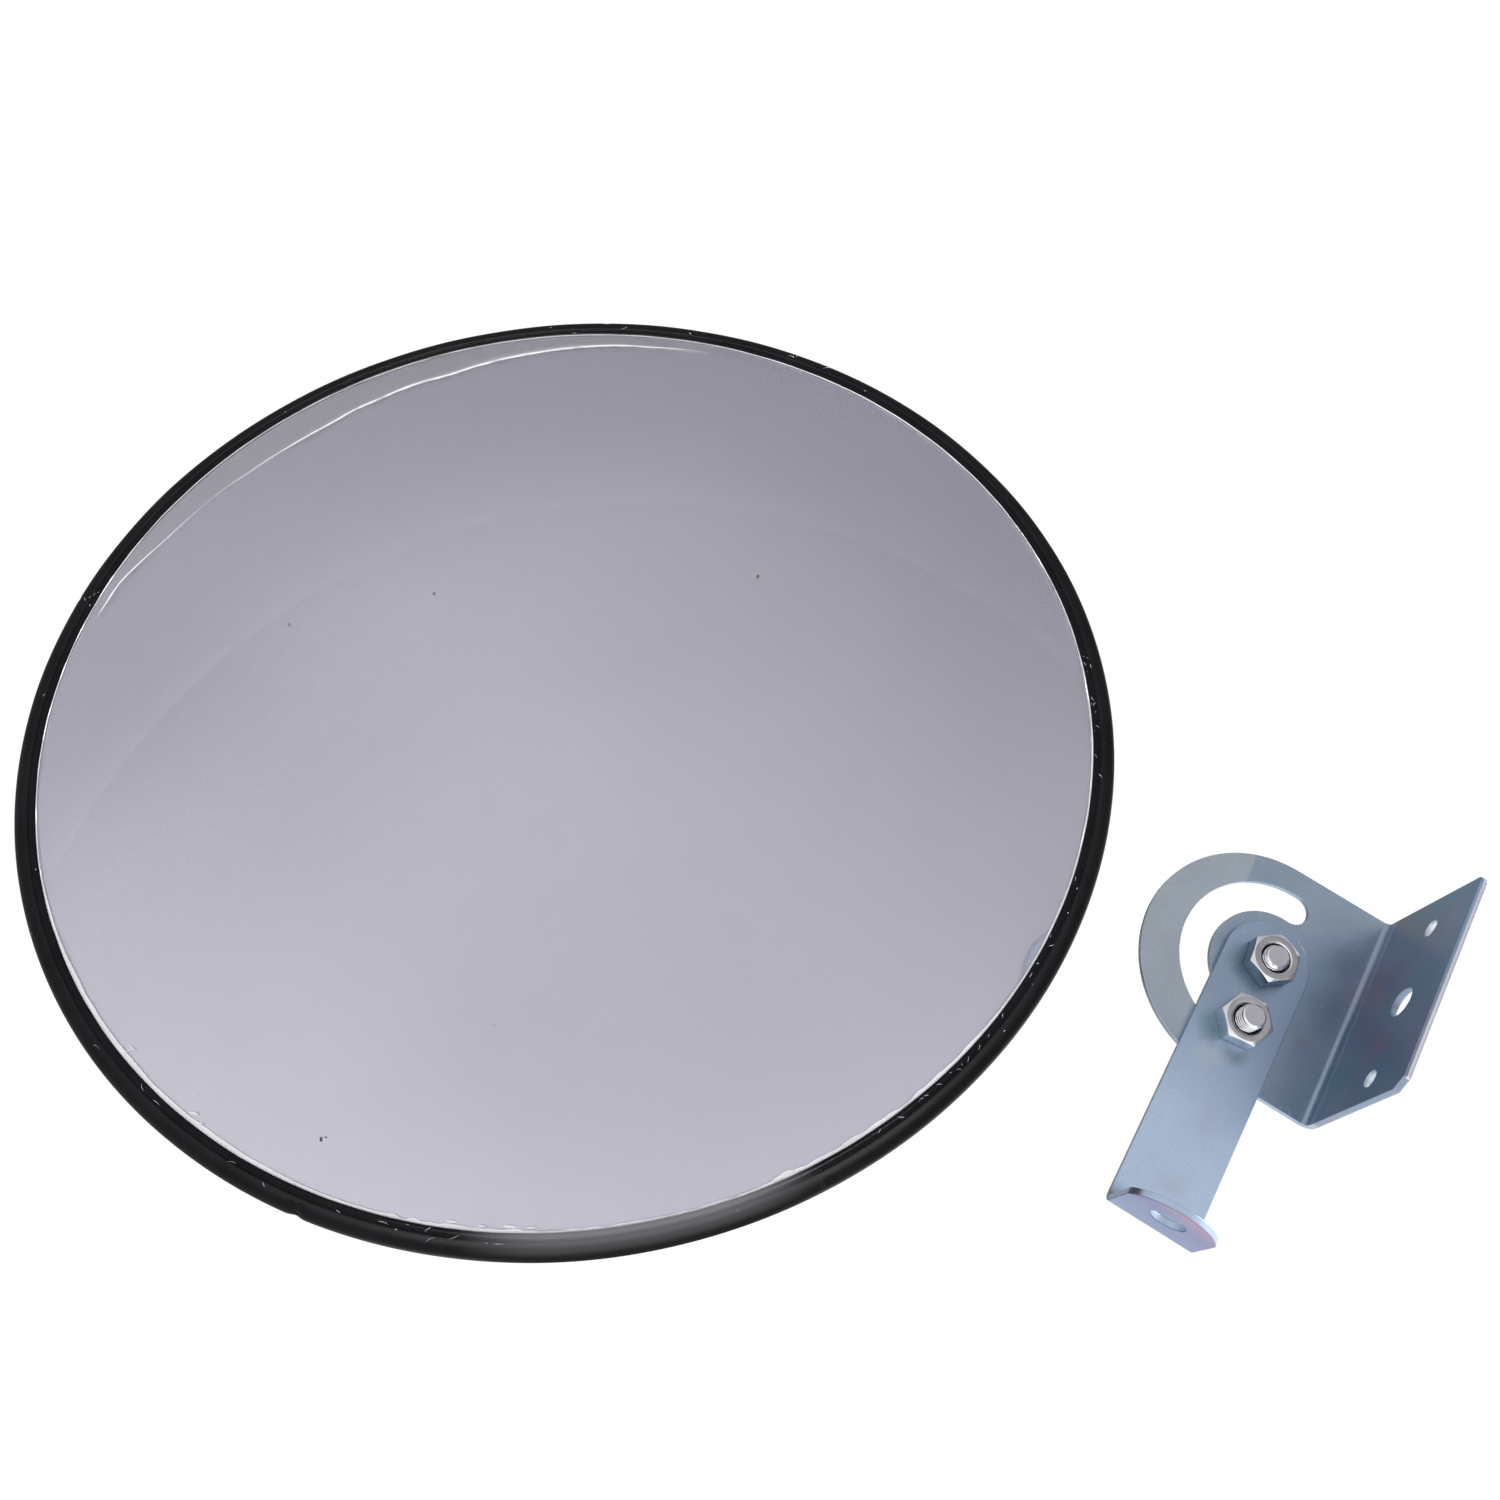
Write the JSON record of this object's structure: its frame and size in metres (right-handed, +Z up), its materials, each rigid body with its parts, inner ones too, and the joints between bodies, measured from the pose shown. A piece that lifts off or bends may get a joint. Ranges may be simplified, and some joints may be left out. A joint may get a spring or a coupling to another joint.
{
  "type": "convex security mirror",
  "caption": "Round domed security mirror with a black rubber edge, lying beside its bent two-piece wall bracket with a curved tilt slot, two bolts and an end tab.",
  "frame": {"origin": "centre of the wall plate's middle hole, on the face that lies against the wall", "axes": "+Y into the wall, +Z up along the wall plate's line of holes, +X along the tilt axis from the bolt heads to the nuts"},
  "size_m": [0.1368, 0.3545, 0.2997],
  "materials": {
    "zinc_sheet": "bright zinc plate with a faint blue and violet tint",
    "zinc_hardware": "zinc-plated fastener",
    "mirror_acrylic": "domed acrylic, silvered behind",
    "clear_film": "thin removable protective film",
    "black_board": "fine-textured black moulded board",
    "black_rubber": "satin black rubber channel",
    "rivet_aluminium": "plain aluminium rivet"
  },
  "bodies": {
    "arm": {"swing_arm": "zinc_sheet", "pivot_bolt": "zinc_hardware", "pivot_nut": "zinc_hardware", "pivot_washer": "zinc_hardware", "clamp_bolt": "zinc_hardware", "clamp_nut": "zinc_hardware", "clamp_washer": "zinc_hardware"},
    "wall_plate": {"wall_plate": "zinc_sheet"},
    "mounting_bolt": {"mounting_bolt": "zinc_hardware", "mounting_spring_washer": "zinc_hardware", "mounting_washer": "zinc_hardware"},
    "mirror": {"mirror_dome": "mirror_acrylic", "protective_film": "clear_film", "edge_trim": "black_rubber", "backing_board": "black_board", "mounting_plate": "zinc_sheet", "mounting_plate_rivets": "rivet_aluminium", "threaded_insert": "zinc_hardware"}
  },
  "joints": [
    {"name": "tilt", "type": "hinge", "parent": "arm", "child": "wall_plate", "pos_m": [-0.0236, -0.0249, 0.0022], "axis": [1, 0, 0], "range_deg": [0, 176]},
    {"name": "mirror_fit", "type": "hinge", "parent": "arm", "child": "mounting_bolt", "pos_m": [-0.0725, -0.11339, -0.06138], "axis": [0.5992, -0.4634, -0.6528], "range_deg": [0, 214.25]},
    {"name": "mirror_spin", "type": "hinge", "parent": "mounting_bolt", "child": "mirror", "pos_m": [-0.08606, -0.20777, -0.01014], "axis": [0.9754, -0.2153, 0.0482], "continuous": true}
  ]
}
